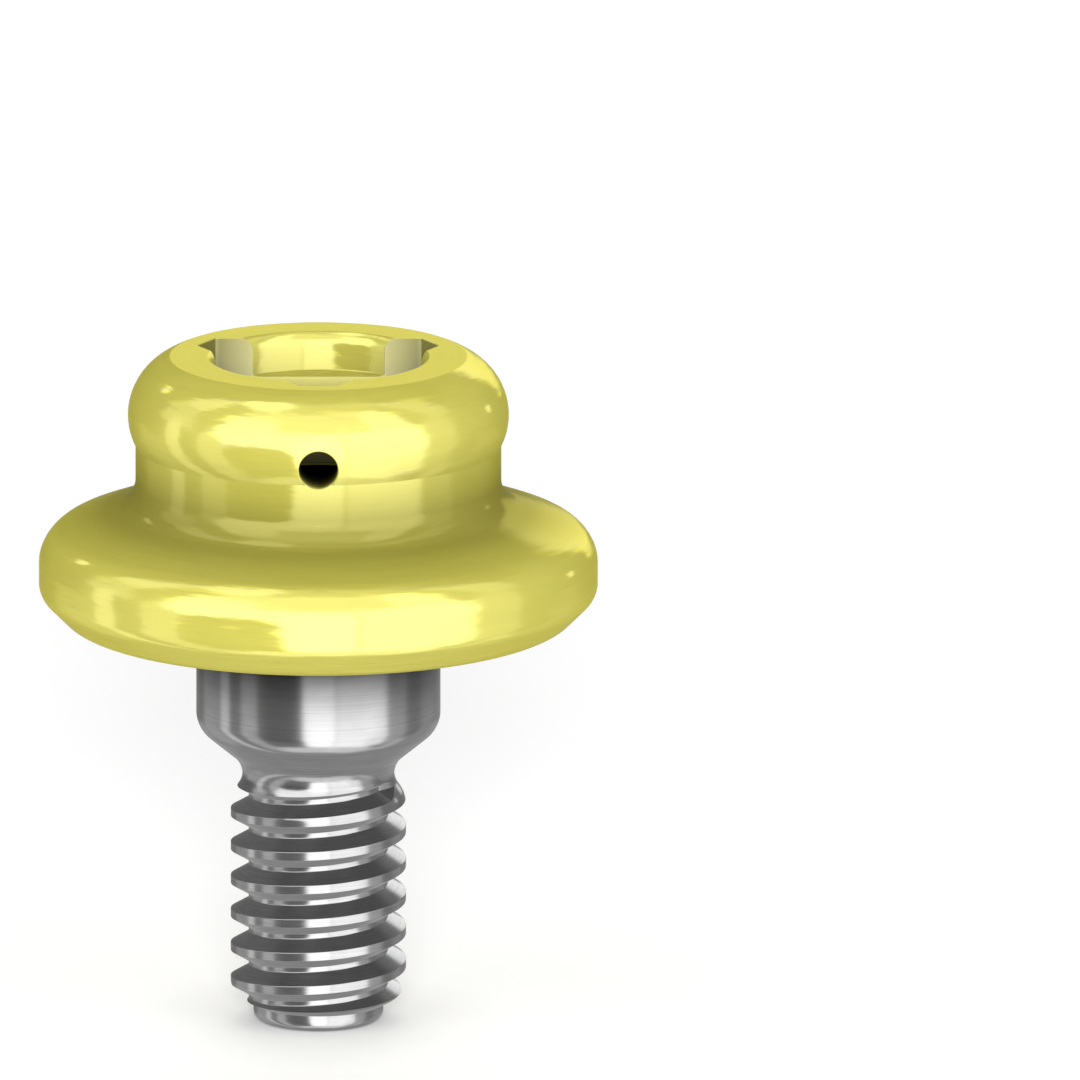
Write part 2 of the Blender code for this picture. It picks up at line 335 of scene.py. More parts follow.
def vent_ring(radius, depth=None, reach=None):
    """A ring of the vent, at a depth under the head's skin or at a flat distance from the axis."""
    ring = []
    for i in range(VENT_STEPS):
        turn = 2 * math.pi * i / VENT_STEPS
        x, z = radius * math.cos(turn), vent_height + radius * math.sin(turn)
        skin = neck
        if z > crease_height:
            skin = bulge_centre[0] + math.sqrt(BULGE_RADIUS ** 2 - (z - bulge_centre[1]) ** 2)
        y = reach if reach is not None else math.sqrt(skin * skin - x * x) - depth
        ring.append(Vector((x, -y, z)))
    return ring


vent_rings = [vent_ring(VENT_RADIUS, reach=LOBE_REACH - OVERCUT)]
for i in range(ROUND_STEPS):
    turn = math.pi / 2 * i / ROUND_STEPS
    mouth = VENT_RADIUS + VENT_BREAK * (1 - math.cos(turn))
    vent_rings.append(vent_ring(mouth, depth=VENT_BREAK * (1 - math.sin(turn))))
vent_rings.append(vent_ring(VENT_RADIUS + VENT_BREAK * 2, depth=-VENT_BREAK))
vent_rings.append(vent_ring(VENT_RADIUS + VENT_BREAK * 2, reach=HEAD_RADIUS + OVERCUT))
cut_away(abutment, push_face(vent_rings, "vent_form"))


# Screw thread
# The shank's right-handed thread screws into the implant. A single-point tool cuts it on
# the lathe: it leaves sharp flanks, a narrow root and flat crests, and at the top it is
# drawn out of the metal in about a tenth of a turn.
PITCH = 0.3528 * MM
CREST_FLAT = 0.088 * MM
ROOT_FLAT = 0.0524 * MM
FLANK_ANGLE = math.radians(30.0)
CREST_FILLET = 0.008 * MM
CREST_LEAVE = math.radians(74.0)  # slope at which the crest's fillet meets the crest
ROOT_FILLET = 0.012 * MM
THREAD_START = 0.169 * MM
RUN_OUT_START = math.radians(330.0)
RUN_OUT_TURN = math.radians(36.0)
THREAD_OVERCUT = 0.030 * MM
CREST_SKIM = 0.003 * MM

spread = math.tan(FLANK_ANGLE)
thread_depth = (PITCH - CREST_FLAT - ROOT_FLAT) / 2 / spread
groove_half = (PITCH - CREST_FLAT) / 2


def groove_side():
    """Half of the groove's section, from the root's middle out past the crest, as (out, along)."""
    side = [(0.0, 0.0)]
    bend = math.pi / 2 - FLANK_ANGLE
    reach = ROOT_FILLET * math.tan(bend / 2)
    for i in range(FILLET_STEPS + 1):
        turn = bend * i / FILLET_STEPS
        side.append((
            ROOT_FILLET * (1 - math.cos(turn)),
            ROOT_FLAT / 2 - reach + ROOT_FILLET * math.sin(turn),
        ))
    reach = CREST_FILLET * math.tan(bend / 2)
    centre = (thread_depth - CREST_FILLET, groove_half + reach)
    for i in range(FILLET_STEPS + 1):
        slope = FLANK_ANGLE + (CREST_LEAVE - FLANK_ANGLE) * i / FILLET_STEPS
        side.append((
            centre[0] + CREST_FILLET * math.sin(slope),
            centre[1] - CREST_FILLET * math.cos(slope),
        ))
    leave = side[-1]
    side.append((leave[0] + CREST_SKIM, leave[1] + CREST_SKIM * math.tan(CREST_LEAVE)))
    side.append((thread_depth + THREAD_OVERCUT, side[-1][1]))
    return side


side = groove_side()
start_height = undercut_foot - THREAD_START + PITCH * (RUN_OUT_START / (2 * math.pi) - 0.5)
root_radius = CREST_RADIUS - thread_depth
section = [(root_radius + out, start_height - along) for out, along in reversed(side)]
section += [(root_radius + out, start_height + along) for out, along in side[1:]]
thread_form = start_piece("thread_form")
draw_chain(section)
bpy.ops.mesh.select_all(action="DESELECT")
mesh = bmesh.from_edit_mesh(thread_form.data)
for vert in mesh.verts:
    if vert.co.x > CREST_RADIUS + THREAD_OVERCUT - NEAR:
        vert.select = True
bmesh.update_edit_mesh(thread_form.data)
bpy.ops.mesh.edge_face_add()
bpy.ops.object.mode_set(mode="OBJECT")
sweep = thread_form.modifiers.new("sweep", "SCREW")
sweep.axis = "Z"
sweep.angle = -2 * math.pi
sweep.screw_offset = -PITCH
sweep.iterations = math.ceil((start_height + PITCH - TIP_HEIGHT) / PITCH)
sweep.steps = sweep.render_steps = TURN_STEPS
sweep.use_merge_vertices = False
bpy.ops.object.modifier_apply(modifier=sweep.name)

bpy.ops.object.mode_set(mode="EDIT")
bpy.ops.mesh.select_all(action="SELECT")
bpy.ops.mesh.fill_holes(sides=0)
bpy.ops.mesh.select_all(action="DESELECT")
mesh = bmesh.from_edit_mesh(thread_form.data)
end_face = max((f for f in mesh.faces if len(f.verts) > 4), key=lambda f: f.calc_center_median().z)
end_face.select = True
bmesh.update_edit_mesh(thread_form.data)
step_turn = 2 * math.pi / TURN_STEPS
run_out_steps = round(RUN_OUT_TURN / step_turn)
for i in range(run_out_steps):
    turn = i * step_turn
    lift = (thread_depth + THREAD_OVERCUT) / run_out_steps
    bpy.ops.mesh.extrude_region_move(TRANSFORM_OT_translate={
        "value": (lift * math.cos(turn), lift * math.sin(turn), PITCH / TURN_STEPS)
    })
    bpy.ops.transform.rotate(value=-step_turn, orient_axis="Z", center_override=(0, 0, 0))
bpy.ops.mesh.select_all(action="SELECT")
bpy.ops.mesh.normals_make_consistent(inside=False)
bpy.ops.transform.rotate(
    value=-(RUN_OUT_START - 2 * math.pi), orient_axis="Z", center_override=(0, 0, 0)
)
bpy.ops.object.mode_set(mode="OBJECT")
cut_away(abutment, thread_form)

bpy.ops.object.mode_set(mode="EDIT")
bpy.ops.mesh.select_all(action="SELECT")
bpy.ops.mesh.remove_doubles(threshold=NEAR)
bpy.ops.object.mode_set(mode="OBJECT")
bpy.ops.object.shade_smooth_by_angle(angle=math.radians(14.0))


# Surface finish
# The lathe leaves fine rings, a fraction of a micron deep. Polishing leaves shallow waves and a
# faint cloudiness. Towards corners and holes each finish's colour is darkened as painted shade,
# and its metal share and its waves are lowered there with it. Each finish below carries all of
# this in its own strength.
RINGS_PER_MM = 40.0
CLOUDS_PER_MM = 1.5
WAVES_PER_MM = 7.0
WAVES_ROUND = 3.2  # waves of the polish in one radian round the axis
CLOUDING = 0.2  # how much rougher or smoother the clouds make the metal


def add_node(tree, kind, place, **values):
    """Add a node and set its properties and its inputs by name."""
    node = tree.nodes.new(kind)
    node.location = place
    for name, value in values.items():
        if hasattr(node, name):
            setattr(node, name, value)
        else:
            node.inputs[name.replace("_", " ")].default_value = value
    return node


finish = bpy.data.node_groups.new("turned_finish", "ShaderNodeTree")
for name, low, high in (("Ring Scale", 0.0, 200000.0), ("Cloud Scale", 0.0, 20000.0)):
    socket = finish.interface.new_socket(name, in_out="INPUT", socket_type="NodeSocketFloat")
    socket.min_value, socket.max_value = low, high
for name in ("Rings", "Waves", "Clouds", "Out", "Up"):
    finish.interface.new_socket(name, in_out="OUTPUT", socket_type="NodeSocketFloat")
inlet = add_node(finish, "NodeGroupInput", (-1000, 0))
outlet = add_node(finish, "NodeGroupOutput", (600, 0))
place = add_node(finish, "ShaderNodeTexCoord", (-1200, -200))
split = add_node(finish, "ShaderNodeSeparateXYZ", (-1000, -200))
finish.links.new(place.outputs["Object"], split.inputs[0])
flat_place = add_node(finish, "ShaderNodeCombineXYZ", (-800, -300))
finish.links.new(split.outputs["X"], flat_place.inputs["X"])
finish.links.new(split.outputs["Y"], flat_place.inputs["Y"])
out_from_axis = add_node(finish, "ShaderNodeVectorMath", (-600, -300), operation="LENGTH")
finish.links.new(flat_place.outputs[0], out_from_axis.inputs[0])
ring_place = add_node(finish, "ShaderNodeCombineXYZ", (-400, -200))
finish.links.new(out_from_axis.outputs["Value"], ring_place.inputs["X"])
finish.links.new(split.outputs["Z"], ring_place.inputs["Y"])
rings = add_node(finish, "ShaderNodeTexNoise", (-100, 100), noise_dimensions="2D", Detail=3.0)
finish.links.new(ring_place.outputs[0], rings.inputs["Vector"])
finish.links.new(inlet.outputs["Ring Scale"], rings.inputs["Scale"])
finish.links.new(rings.outputs[0], outlet.inputs["Rings"])
around = add_node(finish, "ShaderNodeVectorMath", (-600, -600), operation="NORMALIZE")
finish.links.new(flat_place.outputs[0], around.inputs[0])
spread_out = add_node(finish, "ShaderNodeVectorMath", (-400, -600), operation="SCALE")
spread_out.inputs["Scale"].default_value = WAVES_ROUND
finish.links.new(around.outputs[0], spread_out.inputs[0])
wave_height = add_node(finish, "ShaderNodeMath", (-600, -900), operation="MULTIPLY")
wave_out = add_node(finish, "ShaderNodeMath", (-600, -1100), operation="MULTIPLY")
wave_height.inputs[1].default_value = wave_out.inputs[1].default_value = WAVES_PER_MM / MM
finish.links.new(split.outputs["Z"], wave_height.inputs[0])
finish.links.new(out_from_axis.outputs["Value"], wave_out.inputs[0])
lift = add_node(finish, "ShaderNodeCombineXYZ", (-400, -900))
finish.links.new(wave_height.outputs[0], lift.inputs["Z"])
wave_place = add_node(finish, "ShaderNodeVectorMath", (-200, -700), operation="ADD")
finish.links.new(spread_out.outputs[0], wave_place.inputs[0])
finish.links.new(lift.outputs[0], wave_place.inputs[1])
waves = add_node(finish, "ShaderNodeTexNoise", (0, -700), noise_dimensions="4D", Detail=2.0)
waves.inputs["Scale"].default_value = 1.0
finish.links.new(wave_place.outputs[0], waves.inputs["Vector"])
finish.links.new(wave_out.outputs[0], waves.inputs["W"])
finish.links.new(waves.outputs[0], outlet.inputs["Waves"])
clouds = add_node(finish, "ShaderNodeTexNoise", (-100, -200), Detail=2.0)
finish.links.new(place.outputs["Object"], clouds.inputs["Vector"])
finish.links.new(inlet.outputs["Cloud Scale"], clouds.inputs["Scale"])
finish.links.new(clouds.outputs[0], outlet.inputs["Clouds"])
finish.links.new(out_from_axis.outputs["Value"], outlet.inputs["Out"])
finish.links.new(split.outputs["Z"], outlet.inputs["Up"])


def turned_metal(name, colour, metallic, roughness, tones, depths, along, painted_shade):
    """Make one finish.

    metallic is a pair, deep in a corner and in the open. tones are the darkest and the lightest
    tone, and depths those of the rings and the waves, in millimetres. The last argument gives
    the painted shade: the share of the colour left at places up the axis or out from it, in
    millimetres too. It also sets the metal share between the pair and the depth of the waves.
    """
    metal = bpy.data.materials.new(name)
    metal.use_nodes = True
    tree = metal.node_tree
    shader = tree.nodes["Principled BSDF"]
    marks = add_node(tree, "ShaderNodeGroup", (-1300, 0), node_tree=finish)
    marks.inputs["Ring Scale"].default_value = RINGS_PER_MM / MM
    marks.inputs["Cloud Scale"].default_value = CLOUDS_PER_MM / MM
    low, high = painted_shade[0][0], painted_shade[-1][0]
    reach = add_node(tree, "ShaderNodeMapRange", (-1100, 300), From_Min=low * MM)
    reach.inputs["From Max"].default_value = high * MM
    tree.links.new(marks.outputs[along], reach.inputs["Value"])
    # Painted shade: this ramp scales the colour down towards corners and holes, and also sets the
    # metal share and the waves' depth there.
    corner = add_node(tree, "ShaderNodeValToRGB", (-900, 300), name="corner")
    stops = corner.color_ramp.elements
    for i, (spot, left) in enumerate(painted_shade):
        at = (spot - low) / (high - low)
        stop = stops[0] if i == 0 else stops[-1] if i == len(painted_shade) - 1 else stops.new(at)
        stop.position = at
        stop.color = (left, left, left, 1.0)
    tree.links.new(reach.outputs[0], corner.inputs[0])
    bright = add_node(tree, "ShaderNodeMapRange", (-500, 200))
    bright.inputs["To Min"].default_value, bright.inputs["To Max"].default_value = metallic
    tree.links.new(corner.outputs[0], bright.inputs["Value"])
    tree.links.new(bright.outputs[0], shader.inputs["Metallic"])
    mottle = add_node(tree, "ShaderNodeMath", (-1100, 600), operation="ADD")
    tree.links.new(marks.outputs["Rings"], mottle.inputs[0])
    tree.links.new(marks.outputs["Waves"], mottle.inputs[1])
    tone = add_node(tree, "ShaderNodeMapRange", (-900, 600))
    tone.inputs["To Min"].default_value, tone.inputs["To Max"].default_value = tones
    tone.inputs["From Max"].default_value = 2.0
    tree.links.new(mottle.outputs[0], tone.inputs["Value"])
    shade = add_node(tree, "ShaderNodeMath", (-600, 400), operation="MULTIPLY")
    tree.links.new(corner.outputs[0], shade.inputs[0])
    tree.links.new(tone.outputs[0], shade.inputs[1])
    paint = add_node(tree, "ShaderNodeVectorMath", (-400, 400), operation="SCALE")
    paint.inputs[0].default_value = colour
    tree.links.new(shade.outputs[0], paint.inputs["Scale"])
    tree.links.new(paint.outputs[0], shader.inputs["Base Color"])
    rough = add_node(tree, "ShaderNodeMapRange", (-500, 0))
    rough.inputs["To Min"].default_value = roughness * (1.0 - CLOUDING)
    rough.inputs["To Max"].default_value = roughness * (1.0 + CLOUDING)
    tree.links.new(marks.outputs["Clouds"], rough.inputs["Value"])
    tree.links.new(rough.outputs[0], shader.inputs["Roughness"])
    open_waves = add_node(tree, "ShaderNodeMath", (-700, -300), operation="MULTIPLY")
    tree.links.new(marks.outputs["Waves"], open_waves.inputs[0])
    tree.links.new(corner.outputs[0], open_waves.inputs[1])
    height = add_node(tree, "ShaderNodeMath", (-500, -300), operation="MULTIPLY_ADD")
    height.inputs[1].default_value = depths[1] / depths[0]
    tree.links.new(open_waves.outputs[0], height.inputs[0])
    tree.links.new(marks.outputs["Rings"], height.inputs[2])
    bump = add_node(tree, "ShaderNodeBump", (-300, -300), Strength=1.0, Distance=depths[0] * MM)
    tree.links.new(height.outputs[0], bump.inputs["Height"])
    tree.links.new(bump.outputs[0], shader.inputs["Normal"])
    return metal


# Gold nitride film
# The head and flange carry a hard gold film of titanium nitride, laid down as a vapour. It
# is a few thousandths thick, glossy and even, and it lightens the gum's colour above it. It
# reaches down the socket's walls. Down the socket, in the lobes, the vent and the drilled foot
# the same film is darkened with depth, to black at the bottom, as painted shade, and its gloss
# fades with it.
GOLD = (0.88, 0.81, 0.13)
EDGE_TINT = (1.0, 0.93, 0.35, 1.0)
FILM_ROUGHNESS = 0.11
FILM_TONES = (0.93, 1.07)
RING_DEPTH = 0.00008
WAVE_DEPTH = 0.0180
GLOSS_ROUGHNESS = 0.06
GLOSS_INDEX = 2.15
GLOSS_FADE = (0.3, 0.9)  # from facing the eye to grazing, where the gloss starts and ends


def gold_film(name, metallic, along, painted_shade, gloss=1.0, wave_depth=WAVE_DEPTH):
    """Make the gold film: a tinted metal with a thin clear gloss that fades at grazing angles."""
    depths = (RING_DEPTH, wave_depth)
    metal = turned_metal(
        name, GOLD, metallic, FILM_ROUGHNESS, FILM_TONES, depths, along, painted_shade
    )
    tree = metal.node_tree
    shader = tree.nodes["Principled BSDF"]
    shader.inputs["Specular IOR Level"].default_value = 0.0
    shader.inputs["Specular Tint"].default_value = EDGE_TINT
    shader.inputs["Coat IOR"].default_value = GLOSS_INDEX
    shader.inputs["Coat Roughness"].default_value = GLOSS_ROUGHNESS
    facing = add_node(tree, "ShaderNodeLayerWeight", (-600, -500))
    clear = add_node(tree, "ShaderNodeMapRange", (-300, -500))
    clear.inputs["From Min"].default_value, clear.inputs["From Max"].default_value = GLOSS_FADE
    clear.inputs["To Min"].default_value = gloss
    clear.inputs["To Max"].default_value = 0.0
    tree.links.new(facing.outputs["Facing"], clear.inputs["Value"])
    # The gloss fades with the painted shade of the ramp above, not with wear.
    shaded_gloss = add_node(tree, "ShaderNodeMath", (-100, -500), operation="MULTIPLY", use_clamp=True)
    tree.links.new(clear.outputs[0], shaded_gloss.inputs[0])
    tree.links.new(tree.nodes["corner"].outputs[0], shaded_gloss.inputs[1])
    tree.links.new(shaded_gloss.outputs[0], shader.inputs["Coat Weight"])
    return metal


# Painted shade: the film darkens up the flange's slope towards the neck, stays dark on the neck,
# and lightens again up the head.
outer_film = gold_film("gold_film", (0.22, 0.52), "Up", (
    (0.0, 1.0), (0.90, 1.0), (1.02, 0.75), (1.16, 0.45), (1.30, 0.37), (1.50, 0.38),
    (1.86, 0.66), (2.15, 0.90), (2.30, 1.0),
))
rim_film = gold_film("gold_film_on_rim", (0.22, 0.52), "Up", (
    (2.0, 1.0), (2.786, 1.0),
), wave_depth=0.0)
# Painted shade: dark down the socket, black at its floor, full colour at the rim.
socket_film = gold_film("gold_film_in_socket", (0.2, 0.56), "Up", (
    (1.40, 0.0), (1.467, 0.0), (1.475, 0.03), (1.60, 0.05), (1.85, 0.12), (2.20, 0.35),
    (2.38, 0.60), (2.60, 0.74), (2.70, 0.85), (2.786, 1.0),
))
# Painted shade: the drive floor and the drilled foot stay dark, black in a ring round the drill's
# edge.
foot_film = gold_film("gold_film_on_foot", (0.2, 0.4), "Out", (
    (0.0, 0.16), (0.52, 0.20), (0.68, 0.0), (0.87, 0.0), (1.00, 0.24), (1.34, 0.28),
))
# Painted shade: the lobes' walls are dark, darker out towards the lobes' ends.
lobe_film = gold_film("gold_film_in_lobe", (0.2, 0.4), "Out", (
    (1.06, 0.40), (1.10, 0.34), (1.20, 0.27), (1.30, 0.20), (1.325, 0.24), (1.34, 0.26),
), gloss=2.5)
# Painted shade: black deep in the vent, full colour only at its mouth.
vent_film = gold_film("gold_film_in_vent", (0.0, 0.56), "Out", (
    (1.33, 0.0), (1.54, 0.006), (1.67, 0.03), (1.80, 0.12), (1.90, 0.50), (1.95, 1.0),
))


# Bare titanium
# Below the seat the bar stays bare, as the tool leaves it, because the film would wear in
# the implant's thread. It is a bright grey metal, and its rings show more than under the film.
TITANIUM = (0.60, 0.60, 0.60)
# Painted shade: the bare metal's colour darkens up the pilot towards the flange, almost to black
# right under it.
bare_titanium = turned_metal(
    "bare_titanium", TITANIUM, (0.93, 1.0), 0.17, (0.72, 1.28), (0.0002, 0.0012), "Up", (
        (-1.0, 1.0), (-0.85, 0.97), (-0.70, 0.80), (-0.55, 0.55), (-0.40, 0.33), (-0.28, 0.13),
        (0.0, 0.02),
    )
)
FINISHES = (outer_film, rim_film, socket_film, foot_film, lobe_film, vent_film, bare_titanium)
OUTER, RIM, SOCKET, FOOT, LOBE, VENT, BARE = range(len(FINISHES))

socket_reach = math.hypot(LOBE_REACH, LOBE_WIDTH / 2) + NEAR
vent_edge = VENT_RADIUS + VENT_BREAK * 1.5


def finish_at(face):
    """Choose the finish of a face by its place and by the way it looks."""
    spot, normal = face.center, face.normal
    out = math.hypot(spot.x, spot.y)
    if spot.z < -NEAR:
        return BARE
    if spot.z > RIM_HEIGHT - NEAR:
        return RIM
    if out < socket_reach:
        if spot.z < drive_floor + NEAR and normal.z > 0.3:
            return FOOT
        inward = Vector((spot.x, spot.y, 0.0)).normalized()
        on_mouth = inward.dot(Vector((normal.x, normal.y, 0.0)).normalized()) < -0.999
        in_lobe = out > LIP_RADIUS + NEAR and ledge_height < spot.z < RIM_HEIGHT - EDGE_BREAK
        return LOBE if in_lobe and abs(normal.z) < 0.5 and not on_mouth else SOCKET
    off_vent = Vector((spot.x, 0.0, spot.z - vent_height))
    under_skin = spot.y < 0.0 and out < HEAD_RADIUS - VENT_BREAK / 2
    if under_skin and off_vent.length < vent_edge and abs(normal.dot(off_vent.normalized())) > 0.3:
        return VENT
    return OUTER


for metal in FINISHES:
    abutment.data.materials.append(metal)
for face in abutment.data.polygons:
    face.material_index = finish_at(face)
abutment.visible_glossy = False
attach(abutment, "root")
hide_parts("abutment")


# Floor
# A plain white table under the tip. It runs far enough back to fill the picture, keeps the
# abutment's soft shadow, and lets the camera through when it looks from below.
FLOOR_SIZE = 400.0 * MM
FLOOR_WHITE = (0.70, 0.70, 0.70, 1.0)
FLOOR_GLOW = 0.385
CONTACT_REACH = 1.4 * MM  # how far the tip still dims the floor round it
bpy.ops.object.select_all(action="DESELECT")
bpy.ops.mesh.primitive_plane_add(size=FLOOR_SIZE, location=(0.0, 0.0, TIP_HEIGHT))
floor = bpy.context.object
floor.name = "floor"
paper = bpy.data.materials.new("white_paper")
paper.use_nodes = True
tree = paper.node_tree
shader = tree.nodes["Principled BSDF"]
shader.inputs["Base Color"].default_value = FLOOR_WHITE
shader.inputs["Roughness"].default_value = 0.9
shader.inputs["Specular IOR Level"].default_value = 0.0
glow = add_node(tree, "ShaderNodeEmission", (0, -300))
ray = add_node(tree, "ShaderNodeLightPath", (-700, 300))
level = add_node(tree, "ShaderNodeMath", (-300, 200), operation="MULTIPLY")
level.inputs[1].default_value = FLOOR_GLOW
open_sky = add_node(tree, "ShaderNodeAmbientOcclusion", (-700, 0), samples=8)
open_sky.inputs["Distance"].default_value = CONTACT_REACH
shaded = add_node(tree, "ShaderNodeMath", (-500, 200), operation="MULTIPLY")
tree.links.new(ray.outputs["Is Camera Ray"], shaded.inputs[0])
tree.links.new(open_sky.outputs["AO"], shaded.inputs[1])
tree.links.new(shaded.outputs[0], level.inputs[0])
tree.links.new(level.outputs[0], glow.inputs["Strength"])
together = add_node(tree, "ShaderNodeAddShader", (300, 0))
tree.links.new(shader.outputs[0], together.inputs[0])
tree.links.new(glow.outputs[0], together.inputs[1])
clear = add_node(tree, "ShaderNodeBsdfTransparent", (300, -200))
side_seen = add_node(tree, "ShaderNodeNewGeometry", (0, 300))
either = add_node(tree, "ShaderNodeMixShader", (500, 0))
tree.links.new(side_seen.outputs["Backfacing"], either.inputs[0])
tree.links.new(together.outputs[0], either.inputs[1])
tree.links.new(clear.outputs[0], either.inputs[2])
tree.links.new(either.outputs[0], tree.nodes["Material Output"].inputs["Surface"])
floor.data.materials.append(paper)
floor.visible_glossy = False


# Studio
# A light tent with a window-like bank of panels in front, and dark gaps and narrow strips at
# the sides. The metal mirrors it, while the camera sees white. Each panel's place is a turn
# round the part and a rise above the level, and its light fades towards a rounded edge.
TENT = 0.48
BACKGROUND_GREY = 0.8
RIPPLE = 0.10  # how uneven the panels' edges are

panel = bpy.data.node_groups.new("panel", "ShaderNodeTree")
panel.interface.new_socket("Direction", in_out="INPUT", socket_type="NodeSocketVector")
PLACE_SOCKETS = ("At Turn", "At Rise", "Half Turn", "Half Rise")
for name in ("Light",) + PLACE_SOCKETS + ("Inside", "Outside", "Level"):
    panel.interface.new_socket(name, in_out="INPUT", socket_type="NodeSocketFloat")
panel.interface.new_socket("Light", in_out="OUTPUT", socket_type="NodeSocketFloat")
inlet = add_node(panel, "NodeGroupInput", (-1400, 0))
outlet = add_node(panel, "NodeGroupOutput", (800, 0))
at_panel = add_node(panel, "ShaderNodeCombineXYZ", (-1200, -200))
size = add_node(panel, "ShaderNodeCombineXYZ", (-1200, -400))
for i, name in enumerate(("Turn", "Rise")):
    panel.links.new(inlet.outputs["At " + name], at_panel.inputs[i])
    panel.links.new(inlet.outputs["Half " + name], size.inputs[i])
size.inputs[2].default_value = 1.0
away = add_node(panel, "ShaderNodeVectorMath", (-1000, 0), operation="SUBTRACT")
panel.links.new(inlet.outputs["Direction"], away.inputs[0])
panel.links.new(at_panel.outputs[0], away.inputs[1])
round_trip = add_node(panel, "ShaderNodeVectorMath", (-800, 0), operation="WRAP")
round_trip.inputs[1].default_value = (180.0, 180.0, 180.0)
round_trip.inputs[2].default_value = (-180.0, -180.0, -180.0)
panel.links.new(away.outputs[0], round_trip.inputs[0])
share = add_node(panel, "ShaderNodeVectorMath", (-600, 0), operation="DIVIDE")
panel.links.new(round_trip.outputs[0], share.inputs[0])
panel.links.new(size.outputs[0], share.inputs[1])
square = add_node(panel, "ShaderNodeVectorMath", (-400, 0), operation="MULTIPLY")
fourth = add_node(panel, "ShaderNodeVectorMath", (-200, 0), operation="DOT_PRODUCT")
for i in range(2):
    panel.links.new(share.outputs[0], square.inputs[i])
    panel.links.new(square.outputs[0], fourth.inputs[i])
fade = add_node(panel, "ShaderNodeMapRange", (0, 0), interpolation_type="SMOOTHSTEP")
panel.links.new(fourth.outputs["Value"], fade.inputs["Value"])
panel.links.new(inlet.outputs["Inside"], fade.inputs["From Min"])
panel.links.new(inlet.outputs["Outside"], fade.inputs["From Max"])
fade.inputs["To Min"].default_value, fade.inputs["To Max"].default_value = 1.0, 0.0
blend = add_node(panel, "ShaderNodeMix", (300, 0), data_type="FLOAT")
panel.links.new(fade.outputs[0], blend.inputs[0])
panel.links.new(inlet.outputs["Light"], blend.inputs[2])
panel.links.new(inlet.outputs["Level"], blend.inputs[3])
panel.links.new(blend.outputs[0], outlet.inputs[0])

studio = bpy.data.worlds.new("studio")
bpy.context.scene.world = studio
studio.use_nodes = True
tree = studio.node_tree
tree.nodes.clear()
place = add_node(tree, "ShaderNodeTexCoord", (-2600, 0))
ripple = add_node(tree, "ShaderNodeTexNoise", (-2400, -300), Scale=3.0, Detail=2.0)
tree.links.new(place.outputs["Generated"], ripple.inputs["Vector"])
centred = add_node(tree, "ShaderNodeVectorMath", (-2200, -300), operation="SUBTRACT")
centred.inputs[1].default_value = (0.5, 0.5, 0.5)
tree.links.new(ripple.outputs["Color"], centred.inputs[0])
strong = add_node(tree, "ShaderNodeVectorMath", (-2000, -300), operation="SCALE", Scale=RIPPLE)
tree.links.new(centred.outputs[0], strong.inputs[0])
bent = add_node(tree, "ShaderNodeVectorMath", (-1800, 0), operation="ADD")
tree.links.new(place.outputs["Generated"], bent.inputs[0])
tree.links.new(strong.outputs[0], bent.inputs[1])
even = add_node(tree, "ShaderNodeVectorMath", (-1600, 0), operation="NORMALIZE")
tree.links.new(bent.outputs[0], even.inputs[0])
split = add_node(tree, "ShaderNodeSeparateXYZ", (-1400, 0))
tree.links.new(even.outputs[0], split.inputs[0])
forward = add_node(tree, "ShaderNodeMath", (-1200, 100), operation="MULTIPLY")
forward.inputs[1].default_value = -1.0
tree.links.new(split.outputs["Y"], forward.inputs[0])
turn = add_node(tree, "ShaderNodeMath", (-1000, 100), operation="ARCTAN2")
tree.links.new(split.outputs["X"], turn.inputs[0])
tree.links.new(forward.outputs[0], turn.inputs[1])
rise = add_node(tree, "ShaderNodeMath", (-1000, -100), operation="ARCSINE")
tree.links.new(split.outputs["Z"], rise.inputs[0])
direction = add_node(tree, "ShaderNodeCombineXYZ", (-800, 0))
for i, angle in enumerate((turn, rise)):
    in_degrees = add_node(tree, "ShaderNodeMath", (-900, -200 * i), operation="DEGREES")
    tree.links.new(angle.outputs[0], in_degrees.inputs[0])
    tree.links.new(in_degrees.outputs[0], direction.inputs[i])

